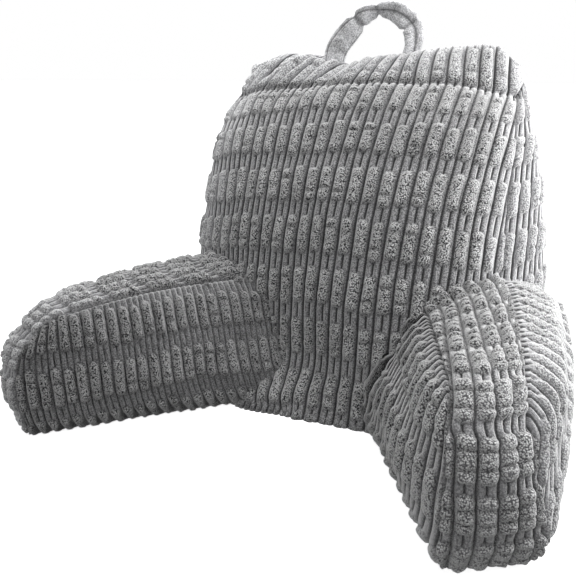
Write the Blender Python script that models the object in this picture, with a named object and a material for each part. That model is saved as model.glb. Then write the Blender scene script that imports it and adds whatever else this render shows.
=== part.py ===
"""Reading pillow with arms: a filled back, two filled arms and a loop handle."""

import math

import bmesh
import bpy
from mathutils import Matrix, Vector

# ---- driving dimensions, metres and degrees ----
PITCH = 0.0208          # rib to rib
PERIOD = 0.066          # pill row to pill row
GAP = 0.019             # flat row between pill rows
PILL_HEIGHT = 0.0050    # crest above groove along a pill
GAP_HEIGHT = 0.0020     # crest above groove in a flat row
ROUNDING = 0.8          # share of the flat row that each pill end takes to fall
EDGE_MARGIN = 0.005     # no cut lies nearer than this to a seam
SEAM_GAP = 0.0003       # clearance between sewn pieces
SHELL_LIMIT = 5.0       # most that a sharp corner may stretch the clearance

BACK_RIBS = 23          # ribs across the front panel
BOXING_RIBS = 6         # ribs across the boxing
BACK_TOP = 0.413        # height of the top front seam
HALF_TOP = 0.202        # half of the front panel at its top seam, along the cloth
HALF_BASE = 0.246       # the same at the height of the arms
WIDENING = 0.26         # length below the top seam over which the panel widens

# centre lines from the floor up: y, z
FRONT_LINE = (
    (-0.0850, 0.000),
    (-0.0640, 0.024),
    (-0.0500, 0.056),
    (-0.0470, 0.135),
    (-0.0350, 0.200),
    (-0.0140, 0.262),
    (0.0180, 0.320),
    (0.0580, 0.373),
    (0.1050, BACK_TOP),
)
REAR_LINE = (
    (0.135, 0.000),
    (0.156, 0.040),
    (0.168, 0.120),
    (0.184, 0.210),
    (0.204, 0.300),
    (0.216, 0.360),
    (0.222, BACK_TOP - 0.004),
)
FOOT = 0.060            # height over which the front's wrap fades into a straight lower edge
FOOT_STRAIGHT = 0.41    # half of the lower edge that stays straight, as a share of its width
FOOT_BLEND = 0.45       # share over which the wrap comes back
# heading of the front panel across its width, s = -1 at the left edge and 1 at the right,
# as the factors of 1, s, s^2, s^3 at HEADING_Z, and their change by HEADING_STEP higher
HEADING = (-11.0, 20.0, 25.0, 28.0)
HEADING_CHANGE = (6.7, 12.0, 0.0, -15.0)
HEADING_Z = 0.19
HEADING_STEP = 0.19
HEADING_HALF = 0.2375
WRAP_TILT_LEFT = 27.0   # the wrapped sides fall by this much from level
WRAP_TILT_RIGHT = 15.0
REAR_HALF_TOP = 0.185
REAR_HALF_BASE = 0.222
REAR_BULGE = 0.018      # swell of the rear panel's middle
REAR_BULGE_LOW = 0.1    # share of the swell's wave that lies under the floor
SIDE_BULGE = 0.034      # swell of the boxing at the two sides
SIDE_BULGE_LOW = 0.2
SIDE_BULGE_HIGH = 0.95
CROWN_MID = 0.030       # top boxing above the seams, in the middle
CROWN_SHOULDER = 0.062  # and at the two shoulders
SHOULDER_AT = 0.58      # share of the half width at which a shoulder is highest
SHOULDER_FALL = 0.75    # how fast it falls away
TUCK = 0.010            # how far the lower edges draw in at the floor
TUCK_HEIGHT = 0.028

ARM_RIBS = 17           # ribs along an arm's side panels
STRIP_RIBS = 5          # ribs across its top strip
ARM_INSIDE = 0.120      # length of the arm buried behind its crease
ARM_WIDTH = 0.104       # across the top strip at the root
ARM_WIDTH_END = 0.080   # and at the end
ARM_LEAN = 0.045        # outward lean of the root's top
ARM_FALL = 0.014        # fall of the top seam along the arm
ARM_CORNER = 0.072      # radius of the end's upper corner
ARM_CROWN = 0.013       # swell of the strip between its seams
CROWN_FADE = 0.05       # height at the floor over which the strip's swell fades
CROWN_FLOOR = 0.25      # share of it left at the floor
ARM_BULGE_IN = 0.008    # belly of the inner panel
ARM_BULGE_OUT = 0.090   # belly of the outer panel at the root
ARM_BULGE_END = 0.012   # and at the end
ARMS = {                # reach: from the crease to the end seam
    "arm_left": {
        "crease": (-0.115, -0.103), "splay": 43.0, "side": -1, "height": 0.157, "reach": 0.240,
    },
    "arm_right": {
        "crease": (0.110, -0.086), "splay": 34.5, "side": 1, "height": 0.168, "reach": 0.262,
    },
}

HANDLE_Y = 0.150
HANDLE_WIDTH = 0.019
HANDLE_THICK = 0.011
STRAP_CORNERS = 12
HANDLE_PATH = (          # x, z of the strap's centre line
    (-0.070, 0.430),
    (-0.062, 0.455),
    (-0.041, 0.480),
    (-0.021, 0.500),
    (-0.004, 0.507),
    (0.020, 0.505),
    (0.041, 0.493),
    (0.050, 0.475),
    (0.048, 0.430),
)

CLOTH = {"color": (0.30, 0.30, 0.31), "roughness": 0.95, "metallic": 0.0}
CLOTH_SHADES = {"back_cushion": 1.0, "arm_left": 0.92, "arm_right": 1.06, "handle": 0.85}


def clear_scene():
    """Remove the scene's objects."""
    for obj in list(bpy.data.objects):
        bpy.data.objects.remove(obj, do_unlink=True)


def make_collection(name):
    """A collection linked under the scene."""
    collection = bpy.data.collections.new(name)
    bpy.context.scene.collection.children.link(collection)
    return collection


def cloth_material(name):
    """The grey plush, one material per piece."""
    material = bpy.data.materials.new(name + "_cloth")
    material.use_nodes = True
    shader = material.node_tree.nodes["Principled BSDF"]
    shade = CLOTH_SHADES[name]
    color = [channel * shade for channel in CLOTH["color"]]
    shader.inputs["Base Color"].default_value = (*color, 1.0)
    shader.inputs["Roughness"].default_value = CLOTH["roughness"]
    shader.inputs["Metallic"].default_value = CLOTH["metallic"]
    return material


def add_object(name, mesh, collection):
    """Link a mesh as a named object with its own material."""
    obj = bpy.data.objects.new(name, mesh)
    obj.data.materials.append(cloth_material(name))
    collection.objects.link(obj)
    return obj


def lerp(start, end, share):
    return start + (end - start) * share


def clamp(value, low=0.0, high=1.0):
    return max(low, min(high, value))


def line_length(line):
    return sum(math.dist(p, q) for p, q in zip(line, line[1:]))


def smoothed(line, steps=6):
    """A line of points made smooth by a spline through them."""
    ends = [line[0], *line, line[-1]]
    curve = []
    for before, start, end, after in zip(ends, ends[1:], ends[2:], ends[3:]):
        for k in range(steps):
            t = k / steps
            curve.append(tuple(
                0.5 * (2 * q + (r - p) * t + (2 * p - 5 * q + 4 * r - o) * t * t
                       + (3 * q - p - 3 * r + o) * t ** 3)
                for p, q, r, o in zip(before, start, end, after)
            ))
    return [*curve, line[-1]]


def along(line, distance):
    """The point at a distance along a line of (y, z) points."""
    for start, end in zip(line, line[1:]):
        step = math.dist(start, end)
        if distance <= step:
            share = distance / step
            return lerp(start[0], end[0], share), lerp(start[1], end[1], share)
        distance -= step
    return line[-1]


def tucked(z):
    """How far a side draws in at this height, so that the lower edge is rounded."""
    return TUCK * clamp(1.0 - z / TUCK_HEIGHT) ** 2


# ---- ribbed blocks: a cube cut along its ribs and rows, then shaped ----

def row_cuts(length):
    """Distances from the top seam at which a rib changes height: three for each pill row."""
    rows = []
    distance = 0.0
    while distance < length:
        rows += [distance, distance + GAP * ROUNDING, distance + PERIOD - GAP * ROUNDING]
        distance += PERIOD
    return [d for d in rows if EDGE_MARGIN < d < length - EDGE_MARGIN]


def crest_height(distance):
    """Crest above the groove at a distance from a seam that runs through a flat row."""
    from_gap = abs((distance + PERIOD / 2) % PERIOD - PERIOD / 2)
    return GAP_HEIGHT if from_gap < GAP / 2 else PILL_HEIGHT


def even_cuts(ribs):
    """Cuts at every groove and crest, from -1 to 1."""
    return [-1.0 + k / ribs for k in range(1, 2 * ribs)]


def rib_phase(value, ribs):
    """0 on a groove and 1 on a crest."""
    return round((value + 1.0) * ribs) % 2


def cut_cube(cuts_by_axis):
    """A cube of side 2 with planes cut through it along each axis."""
    bm = bmesh.new()
    bmesh.ops.create_cube(bm, size=2.0)
    for axis, cuts in enumerate(cuts_by_axis):
        normal = Vector((0.0, 0.0, 0.0))
        normal[axis] = 1.0
        for cut in cuts:
            bmesh.ops.bisect_plane(
                bm,
                geom=bm.verts[:] + bm.edges[:] + bm.faces[:],
                plane_co=normal * cut,
                plane_no=normal,
            )
    underside = [f for f in bm.faces if f.calc_center_median().z < -0.9999]
    bmesh.ops.dissolve_faces(bm, faces=underside)
    return bm


def on_end(value, end):
    return abs(value - end) < 1e-5


def ribbed_block(name, cuts, place, rib, collection):
    """Shape a cut cube: place() gives a vertex its point and rib() its height above it."""
    bm = cut_cube(cuts)
    grid = [vert.co.copy() for vert in bm.verts]
    for vert, abc in zip(bm.verts, grid):
        vert.co = place(*abc)
    bm.normal_update()
    normals = [vert.normal.copy() for vert in bm.verts]
    for vert, abc, normal in zip(bm.verts, grid, normals):
        vert.co += normal * rib(*abc)
        if on_end(abc.z, -1.0):
            vert.co.z = 0.0
    bmesh.ops.recalc_face_normals(bm, faces=bm.faces)
    bmesh.ops.triangulate(bm, faces=bm.faces)
    mesh = bpy.data.meshes.new(name)
    bm.to_mesh(mesh)
    bm.free()
    return add_object(name, mesh, collection)


# ---- back cushion ----

FRONT_CURVE = smoothed(FRONT_LINE)
REAR_CURVE = smoothed(REAR_LINE)


def heading_at(s, rise):
    """Heading of the front panel in radians."""
    factors = [base + change * rise for base, change in zip(HEADING, HEADING_CHANGE)]
    return math.radians(sum(factor * s ** power for power, factor in enumerate(factors)))


def front_wrap(u, rise, steps=24):
    """Sideways and backward travel when walking u along the cloth from the centre line."""
    sideways = 0.0
    backward = 0.0
    step = u / steps
    for k in range(steps):
        heading = heading_at((k + 0.5) * step / HEADING_HALF, rise)
        sideways += math.cos(heading) * step
        backward += math.sin(heading) * step
    return sideways, backward


def front_half(below):
    """Half of the front panel's width, along the cloth, at a distance below its top seam."""
    return lerp(HALF_TOP, HALF_BASE, math.sin(clamp(below / WIDENING) * math.pi / 2))


def front_point(a, share):
    """Front panel: a across from -1 to 1, share up from 0 to 1."""
    length = line_length(FRONT_CURVE)
    y, z = along(FRONT_CURVE, share * length)
    rise = (z - HEADING_Z) / HEADING_STEP
    sideways, backward = front_wrap(a * front_half(length * (1.0 - share)), rise)
    backward *= lerp(clamp(z / FOOT), 1.0, clamp((abs(a) - FOOT_STRAIGHT) / FOOT_BLEND))
    tilt = math.radians(WRAP_TILT_LEFT if a < 0 else WRAP_TILT_RIGHT)
    fall = backward * math.sin(tilt) * clamp(z / (2 * FOOT))
    return Vector((sideways, y + backward * math.cos(tilt), max(z - fall, 0.0)))


def rear_point(a, share):
    """Rear panel, in the same terms."""
    y, z = along(REAR_CURVE, share * line_length(REAR_CURVE))
    half = lerp(REAR_HALF_BASE, REAR_HALF_TOP, share)
    wave = math.sin(math.pi * lerp(REAR_BULGE_LOW, 1.0, share))
    bulge = REAR_BULGE * (1.0 - a * a) * wave
    return Vector((a * half, y + bulge, z))


def crown(a):
    """Rise of the top boxing: two shoulders with a dip between them."""
    shoulder = math.cos((abs(a) - SHOULDER_AT) * math.pi * SHOULDER_FALL) ** 2
    dip = math.cos(a * math.pi / 2) ** 2
    return CROWN_SHOULDER * shoulder * (1.0 - dip) + CROWN_MID * dip


def back_place(a, b, c):
    share = (c + 1.0) / 2.0
    across = (b + 1.0) / 2.0
    point = front_point(a, share).lerp(rear_point(a, share), across)
    arch = math.sin(math.pi * across)
    if on_end(c, 1.0):
        point.z += crown(a) * arch
    if on_end(abs(a), 1.0):
        side = math.copysign(1.0, a)
        wave = math.sin(math.pi * lerp(SIDE_BULGE_LOW, SIDE_BULGE_HIGH, share))
        point.x += side * SIDE_BULGE * arch * wave
        point.x -= side * tucked(point.z)
    if on_end(b, -1.0):
        point.y += tucked(point.z)
    return point


def back_rib(a, b, c):
    below = (1.0 - c) / 2.0 * line_length(FRONT_CURVE)
    heights = []
    if on_end(abs(b), 1.0):
        heights.append(rib_phase(a, BACK_RIBS) * crest_height(below))
    if on_end(abs(a), 1.0):
        heights.append(rib_phase(b, BOXING_RIBS) * crest_height(below))
    if on_end(c, 1.0):
        heights.append(rib_phase(a, BACK_RIBS) * PILL_HEIGHT)
    return min(heights, default=0.0)


def make_back(collection):
    length = line_length(FRONT_CURVE)
    rows = [1.0 - 2.0 * d / length for d in row_cuts(length)]
    cuts = (even_cuts(BACK_RIBS), even_cuts(BOXING_RIBS), rows)
    return ribbed_block("back_cushion", cuts, back_place, back_rib, collection)


# ---- arms ----

def arm_place(a, b, c, height, reach):
    """An arm in its own frame: x along it from the crease, y outward, z up."""
    level = (c + 1.0) / 2.0
    x = lerp(-ARM_INSIDE, reach, (a + 1.0) / 2.0)
    top = height - ARM_FALL * clamp(x / reach) ** 2
    z = level * top
    # the end's upper corner is a quarter round
    p = clamp((x - reach + ARM_CORNER) / ARM_CORNER)
    q = clamp((z - top + ARM_CORNER) / ARM_CORNER)
    if p > 0.0 and q > 0.0:
        x = reach - ARM_CORNER + ARM_CORNER * p * math.sqrt(1.0 - q * q / 2.0)
        z = top - ARM_CORNER + ARM_CORNER * q * math.sqrt(1.0 - p * p / 2.0)
    # the strip over the top and down the end swells between its two seams
    if on_end(c, 1.0) or on_end(a, 1.0):
        outward = Vector((p, q)).normalized() if p > 0.0 else Vector((0.0, 1.0))
        swell = ARM_CROWN * (1.0 - b * b) * clamp(z / CROWN_FADE, CROWN_FLOOR, 1.0)
        x += swell * outward.x
        z += swell * outward.y
    if on_end(a, 1.0):
        x -= tucked(z)
    toward_end = clamp(x / reach)
    lean = ARM_LEAN * level * (1.0 - toward_end)
    belly = math.sqrt(max(1.0 - abs(2.0 * level - 1.0) ** 3, 0.0))
    inner = lean - ARM_BULGE_IN * belly + tucked(z)
    outer = lean + lerp(ARM_WIDTH, ARM_WIDTH_END, toward_end) - tucked(z)
    outer += belly * lerp(ARM_BULGE_OUT, ARM_BULGE_END, toward_end)
    return Vector((x, lerp(inner, outer, (b + 1.0) / 2.0), z))


def arm_rib(a, b, c, height, reach):
    below = (1.0 - c) / 2.0 * height
    forward = (a + 1.0) / 2.0 * (ARM_INSIDE + reach)
    heights = []
    if on_end(abs(b), 1.0):
        heights.append(rib_phase(a, ARM_RIBS) * crest_height(below + GAP))
    if on_end(c, 1.0):
        heights.append(rib_phase(b, STRIP_RIBS) * crest_height(forward))
    if on_end(a, 1.0):
        heights.append(rib_phase(b, STRIP_RIBS) * crest_height(below))
    return min(heights, default=0.0)


def make_arm(name, collection):
    arm = ARMS[name]
    size = arm["height"], arm["reach"]
    rows = [1.0 - 2.0 * d / size[0] for d in row_cuts(size[0])]
    cuts = (even_cuts(ARM_RIBS), even_cuts(STRIP_RIBS), rows)
    obj = ribbed_block(
        name,
        cuts,
        lambda a, b, c: arm_place(a, b, c, *size),
        lambda a, b, c: arm_rib(a, b, c, *size),
        collection,
    )
    splay = math.radians(arm["splay"])
    turn = Matrix.Rotation(splay - math.pi / 2, 4, "Z")
    mirror = Matrix.Diagonal((arm["side"], 1.0, 1.0, 1.0))
    obj.data.transform(mirror @ turn)
    if arm["side"] < 0:
        obj.data.flip_normals()
    obj.location = (arm["crease"][0], arm["crease"][1], 0.0)
    return obj


# ---- handle ----

def strap_profile():
    """The folded strap's section: a flat oval."""
    data = bpy.data.curves.new("strap_profile", "CURVE")
    data.dimensions = "2D"
    spline = data.splines.new("POLY")
    corners = STRAP_CORNERS
    spline.points.add(corners - 1)
    for k, point in enumerate(spline.points):
        turn = 2.0 * math.pi * k / corners
        point.co = (HANDLE_THICK / 2 * math.cos(turn), HANDLE_WIDTH / 2 * math.sin(turn), 0.0, 1.0)
    spline.use_cyclic_u = True
    return bpy.data.objects.new("strap_profile", data)


def make_handle(collection, cutters):
    profile = strap_profile()
    cutters.objects.link(profile)
    data = bpy.data.curves.new("handle", "CURVE")
    data.dimensions = "3D"
    data.resolution_u = 3
    data.bevel_mode = "OBJECT"
    data.bevel_object = profile
    data.use_fill_caps = True
    spline = data.splines.new("BEZIER")
    spline.bezier_points.add(len(HANDLE_PATH) - 1)
    for point, (x, z) in zip(spline.bezier_points, HANDLE_PATH):
        point.co = (x, HANDLE_Y, z)
        point.handle_left_type = "AUTO"
        point.handle_right_type = "AUTO"
    route = bpy.data.objects.new("strap_route", data)
    cutters.objects.link(route)
    graph = bpy.context.evaluated_depsgraph_get()
    mesh = bpy.data.meshes.new_from_object(route.evaluated_get(graph))
    bm = bmesh.new()
    bm.from_mesh(mesh)
    bmesh.ops.remove_doubles(bm, verts=bm.verts, dist=1e-5)
    bmesh.ops.recalc_face_normals(bm, faces=bm.faces)
    bm.to_mesh(mesh)
    bm.free()
    bpy.data.objects.remove(route)
    bpy.data.objects.remove(profile)
    return add_object("handle", mesh, collection)


# ---- seams between pieces ----

def seam_cutter(obj, cutters):
    """A copy of a piece, grown by the seam gap, that trims its neighbours."""
    cutter = obj.copy()
    cutter.data = obj.data.copy()
    cutter.name = obj.name + "_cutter"
    cutters.objects.link(cutter)
    bm = bmesh.new()
    bm.from_mesh(cutter.data)
    bm.normal_update()
    steps = [vert.normal * SEAM_GAP * min(vert.calc_shell_factor(), SHELL_LIMIT) for vert in bm.verts]
    for vert, step in zip(bm.verts, steps):
        vert.co += step
    bm.to_mesh(cutter.data)
    bm.free()
    cutter.hide_render = True
    cutter.display_type = "WIRE"
    return cutter


def trim(obj, cutter):
    """Cut an object where its neighbour fills the space."""
    boolean = obj.modifiers.new("seam_" + cutter.name, "BOOLEAN")
    boolean.operation = "DIFFERENCE"
    boolean.solver = "EXACT"
    boolean.object = cutter


def main():
    clear_scene()
    pillow = make_collection("reading_pillow")
    cutters = make_collection("cutters")
    back = make_back(pillow)
    cutter = seam_cutter(back, cutters)
    for name in ARMS:
        trim(make_arm(name, pillow), cutter)
    trim(make_handle(pillow, cutters), cutter)


main()
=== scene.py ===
import math

import bmesh
import bpy
import numpy as np
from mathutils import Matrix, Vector
from mathutils.bvhtree import BVHTree


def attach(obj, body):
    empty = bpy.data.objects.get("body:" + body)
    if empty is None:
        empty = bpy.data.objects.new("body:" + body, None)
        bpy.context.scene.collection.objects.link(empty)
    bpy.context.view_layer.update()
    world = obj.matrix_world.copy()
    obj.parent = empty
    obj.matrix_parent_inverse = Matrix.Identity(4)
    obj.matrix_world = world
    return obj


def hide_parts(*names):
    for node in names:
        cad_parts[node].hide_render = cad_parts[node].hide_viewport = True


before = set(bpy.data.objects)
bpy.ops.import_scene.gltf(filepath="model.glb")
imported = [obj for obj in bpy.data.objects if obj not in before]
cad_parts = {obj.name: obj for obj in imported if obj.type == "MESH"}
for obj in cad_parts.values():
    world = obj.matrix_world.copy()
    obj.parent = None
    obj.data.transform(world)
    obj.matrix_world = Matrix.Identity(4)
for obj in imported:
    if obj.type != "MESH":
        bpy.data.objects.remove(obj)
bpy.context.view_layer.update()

scene = bpy.context.scene
pieces = {}

# wide pill corduroy: every length in metres on the cloth
corduroy = {
    "pitch": 0.0208,        # rib to rib
    "period": 0.066,        # pill to pill along a rib
    "pillLength": 0.0475,
    "pillWidth": 0.0164,
    "pillCorner": 0.0074,   # radius of its round ends
    "pillShift": 0.0012,    # a pill stands to one side of its rib, and leaves a smooth flank
    "pillHeight": 0.0088,
    "thinWidth": 0.0102,    # each of the two thin ribs between pills
    "thinHeight": 0.0048,
    "waver": 0.0007,        # of the ribs from side to side
    "uneven": 0.0036,       # of the pills' lengths and places
    "frayed": 0.0004,       # of the pills' outlines
    "curl": 0.00032,        # of the pile's surface
    "seamDepth": 0.0010,
    "inset": 0.0052,        # the covers are cut this much smaller, to leave room for the pills
    "turnIn": 0.010,        # hem behind each edge
    "pucker": 0.0050,       # at the arms' roots
    "lumps": 0.0016,        # of the filling
    "fineAcross": 0.0012,   # mesh spacing across the ribs
    "fineAlong": 0.0024,    # and along them
}
# how the cloth lies: flat on a panel, or gathered on a strip, where its pills crowd and swell;
# creased is the share of the pills that have a crease across, pucker how uneven the thin ribs are
flatLie = {"creased": 0.5, "twice": 0.0, "wide": 1.0, "long": 1.0, "high": 1.0, "lumps": 1.0, "pucker": 0.0}
gatheredLie = {"creased": 0.95, "twice": 1.0, "wide": 1.20, "long": 1.12, "high": 1.12, "lumps": 1.3,
               "pucker": 0.22}
footTuck = {"deep": 0.013, "high": 0.032}   # the covers are drawn in where they meet the floor
underside = {"cells": (48, 24), "thick": 0.004, "drawnIn": 1.6}  # drawn in by so many insets
onFace = 0.9999     # a block's own coordinates run from -1 to 1, and past this a point is on its face
pitch = corduroy["pitch"]
period = corduroy["period"]


# small helpers


def blend(start, end, share):
    return start + (end - start) * share


def clamp(value, low=0.0, high=1.0):
    return max(low, min(high, value))


def smoothStep(value):
    value = np.clip(value, 0.0, 1.0)
    return value * value * (3.0 - 2.0 * value)


def hashed(i, j, seed):
    value = np.sin(i * 127.1 + j * 311.7 + seed * 74.7) * 43758.5453
    return value - np.floor(value)


def softNoise(x, y, seed):  # -1 to 1, one lump for each unit
    i = np.floor(x)
    j = np.floor(y)
    s = smoothStep(x - i)
    t = smoothStep(y - j)
    low = blend(hashed(i, j, seed), hashed(i + 1, j, seed), s)
    high = blend(hashed(i, j + 1, seed), hashed(i + 1, j + 1, seed), s)
    return blend(low, high, t) * 2.0 - 1.0


def smoothLine(line, steps=6):  # a spline through points
    ends = [line[0], *line, line[-1]]
    curve = []
    for before, start, end, after in zip(ends, ends[1:], ends[2:], ends[3:]):
        for k in range(steps):
            t = k / steps
            curve.append(tuple(
                0.5 * (2 * q + (r - p) * t + (2 * p - 5 * q + 4 * r - o) * t * t
                       + (3 * q - p - 3 * r + o) * t ** 3)
                for p, q, r, o in zip(before, start, end, after)
            ))
    return [*curve, line[-1]]


def lineLength(line):
    return sum(math.dist(p, q) for p, q in zip(line, line[1:]))


def alongLine(line, distance):
    for start, end in zip(line, line[1:]):
        step = math.dist(start, end)
        if distance <= step:
            share = distance / step
            return blend(start[0], end[0], share), blend(start[1], end[1], share)
        distance -= step
    return line[-1]


def asMesh(name, bm):
    mesh = bpy.data.meshes.new(name)
    bm.to_mesh(mesh)
    bm.free()
    return mesh


def asBmesh(mesh):
    bm = bmesh.new()
    bm.from_mesh(mesh)
    return bm


def addObject(name, data):
    obj = bpy.data.objects.new(name, data)
    scene.collection.objects.link(obj)
    return obj


def samples(length, spacing):
    return int(round(length / spacing)) + 1


def splineAlong(values, position):
    # rows of values, shape (m, n, k), read at fractional row positions, shape (p, n)
    first = 2 * values[:1] - values[1:2]
    last = 2 * values[-1:] - values[-2:-1]
    padded = np.concatenate([first, values, last])
    base = np.clip(np.floor(position).astype(int), 0, len(values) - 2)
    t = (position - base)[..., None]
    taps = [np.take_along_axis(padded, (base + k)[..., None], axis=0) for k in range(4)]
    return 0.5 * (2 * taps[1] + (taps[2] - taps[0]) * t
                  + (2 * taps[0] - 5 * taps[1] + 4 * taps[2] - taps[3]) * t ** 2
                  + (3 * taps[1] - taps[0] - 3 * taps[2] + taps[3]) * t ** 3)


def refine(values, across, along):  # a coarse grid read at across x along even positions
    rows = np.linspace(0, len(values) - 1, across)[:, None].repeat(values.shape[1], axis=1)
    wide = splineAlong(values, rows)
    columns = np.linspace(0, values.shape[1] - 1, along)[:, None].repeat(across, axis=1)
    return splineAlong(wide.transpose(1, 0, 2), columns).transpose(1, 0, 2)


# the cushions' covers before their ribs: a cut cube, shaped, then inflated


def cutCube(counts):  # so many cells along each axis
    bm = bmesh.new()
    bmesh.ops.create_cube(bm, size=2.0)
    for axis, count in enumerate(counts):
        normal = Vector((0.0, 0.0, 0.0))
        normal[axis] = 1.0
        for k in range(1, count):
            bmesh.ops.bisect_plane(bm, geom=bm.verts[:] + bm.edges[:] + bm.faces[:],
                                   plane_co=normal * (2.0 * k / count - 1.0), plane_no=normal)
    return bm


def shapedBlock(name, counts, place):  # the block, and the vertex number of each lattice point
    bm = cutCube(counts)
    bm.verts.index_update()
    lattice = np.zeros([count + 1 for count in counts], dtype=int)
    for vert in bm.verts:
        key = tuple(round((value + 1.0) / 2.0 * count) for value, count in zip(vert.co, counts))
        lattice[key] = vert.index
        vert.co = place(*vert.co)
    bmesh.ops.recalc_face_normals(bm, faces=bm.faces)
    return addObject(name, asMesh(name, bm)), lattice


def tucked(z):
    return footTuck["deep"] * clamp(1.0 - z / footTuck["high"]) ** 2


def readVectors(mesh, kind="co"):
    vectors = np.empty(len(mesh.vertices) * 3)
    mesh.vertices.foreach_get(kind, vectors)
    return vectors.reshape(-1, 3)


def inflate(obj, settings):  # fills the cover with air: the panels swell and pull at their seams
    rest = readVectors(obj.data)
    modifier = obj.modifiers.new("Cloth", "CLOTH")
    cloth = modifier.settings
    cloth.quality = 6
    cloth.mass = 0.3
    cloth.tension_stiffness = cloth.compression_stiffness = settings["stiffness"]
    cloth.shear_stiffness = settings["stiffness"]
    cloth.bending_stiffness = 0.5
    cloth.use_pressure = True
    cloth.uniform_pressure_force = settings["pressure"]
    cloth.effector_weights.gravity = 0
    for step in range(1, settings["frames"] + 1):
        scene.frame_set(step)
    graph = bpy.context.evaluated_depsgraph_get()
    swollen = readVectors(obj.evaluated_get(graph).data)
    obj.modifiers.remove(modifier)
    scene.frame_set(1)
    move = swollen - rest  # kept below the cap, and the cover keeps its place and most of its size
    length = np.linalg.norm(move, axis=1, keepdims=True) + 1e-9
    move *= settings["cap"] * np.tanh(length / settings["cap"]) / length
    move -= move.mean(axis=0)
    normals = readVectors(obj.data, "normal")
    move -= normals * (np.sum(move * normals, axis=1).mean() * settings["keepSize"])
    swollen = rest + move
    swollen[:, 2] = np.maximum(swollen[:, 2], 0.0)
    swollen[rest[:, 2] < 1e-5, 2] = 0.0  # what lay on the floor stays on it
    obj.data.vertices.foreach_set("co", swollen.ravel())
    obj.data.update()


def coverFaces(obj, lattice):  # points and normals of each face, as a grid
    both = np.concatenate([readVectors(obj.data), readVectors(obj.data, "normal")], axis=1)[lattice]
    return {"front": both[:, 0], "rear": both[:, -1], "left": both[0], "right": both[-1],
            "top": both[:, :, -1], "underside": both[:, :, 0]}


# the cloth's ribs


def corduroyRelief(u, v, seed, lie):
    # cloth height, pile, each pill's random tone, painted shade in its hollows and cloth coordinates at u
    # across the ribs, v along them
    across = (u + corduroy["waver"] * softNoise(u / 0.06, v / 0.035, seed)) / pitch
    column = np.floor(across)
    x = (across - column - 0.5) * pitch
    along = v / period + 0.05 * (hashed(column, 7.0, seed) - 0.5)
    row = np.floor(along)
    y = (along - row - 0.5) * period
    roll = [hashed(column, row, seed + k) for k in range(1, 8)]  # each pill has its own
    halfWidth = corduroy["pillWidth"] / 2 * lie["wide"] * (1.0 + 0.12 * (roll[0] - 0.5))
    halfLength = corduroy["pillLength"] / 2 * lie["long"] + corduroy["uneven"] * (roll[1] - 0.5)
    # distance from the outline of a box with round corners, negative inside it
    corner = corduroy["pillCorner"]
    qx = np.abs(x - corduroy["pillShift"] + 0.0008 * (roll[2] - 0.5)) - (halfWidth - corner)
    qy = np.abs(y + corduroy["uneven"] * (roll[3] - 0.5)) - (halfLength - corner)
    edge = np.hypot(np.maximum(qx, 0), np.maximum(qy, 0)) + np.minimum(np.maximum(qx, qy), 0) - corner
    edge += corduroy["frayed"] * softNoise(u / 0.0026, v / 0.0032, seed + 8)
    depth = np.clip(-edge / halfWidth, 0.0, 1.0)
    dome = (1.0 - (1.0 - depth) ** 2.2) ** 0.5
    # some pills are creased across, and gathered ones twice
    creaseAt = (np.where(roll[4] < 0.5, 0.19, -0.19) + 0.10 * (roll[5] - 0.5)) * corduroy["pillLength"]
    crease = np.exp(-((y - creaseAt) / 0.0017) ** 2) * (roll[6] < lie["creased"])
    crease = np.maximum(crease, lie["twice"] * np.exp(-((y + creaseAt) / 0.0019) ** 2))
    dome *= 1.0 - 0.40 * crease
    dome *= 1.0 + 0.10 * softNoise(u / 0.008, v / 0.010, seed + 3)
    pile = smoothStep((depth - 0.01) / 0.14)
    curl = softNoise(u / 0.0024, v / 0.0030, seed + 5) + 0.6 * softNoise(u / 0.0045, v / 0.0045, seed + 6)
    pill = corduroy["pillHeight"] * lie["high"] * dome + corduroy["curl"] * curl * pile
    thinX = (np.abs((across * 2.0) % 1.0 - 0.5) * pitch / 2.0) / (corduroy["thinWidth"] / 2)
    thin = corduroy["thinHeight"] * (1.0 - np.clip(thinX, 0.0, 1.0) ** 2.2) ** 0.5
    thin *= 1.0 + lie["pucker"] * softNoise(u / 0.011, v / 0.009, seed + 9)
    thin *= 1.0 + 0.10 * softNoise(u / 0.010, v / 0.012, seed + 4)
    height = np.maximum(pill, thin)
    # painted shade: dark in the grooves, in the creases, at a pill's flanks and round its outline, where
    # shade falls
    paintedCavityShade = np.maximum(1.0 - smoothStep(height / 0.0034), 0.55 * crease * pile)
    paintedCavityShade = np.maximum(paintedCavityShade, 0.40 * (1.0 - smoothStep(depth / 0.40)) * pile)
    paintedCavityShade = np.maximum(paintedCavityShade, 0.55 * np.exp(-((edge - 0.0006) / 0.0011) ** 2))
    return height, pile, roll[0], paintedCavityShade, across, v / period


def seamDistance(points, sewn=(1, 1, 1, 1)):
    # from the nearest sewn edge, from the first row and from the first column
    steps = np.linalg.norm(np.diff(points, axis=0), axis=2)
    fromStart = np.concatenate([np.zeros((1, points.shape[1])), np.cumsum(steps, axis=0)])
    fromEnd = fromStart[-1:] - fromStart
    steps = np.linalg.norm(np.diff(points, axis=1), axis=2)
    sideStart = np.concatenate([np.zeros((points.shape[0], 1)), np.cumsum(steps, axis=1)], axis=1)
    sideEnd = sideStart[:, -1:] - sideStart
    edges = [edge for edge, flag in zip((fromStart, fromEnd, sideStart, sideEnd), sewn) if flag]
    return np.minimum.reduce(edges), fromStart, sideStart


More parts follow.
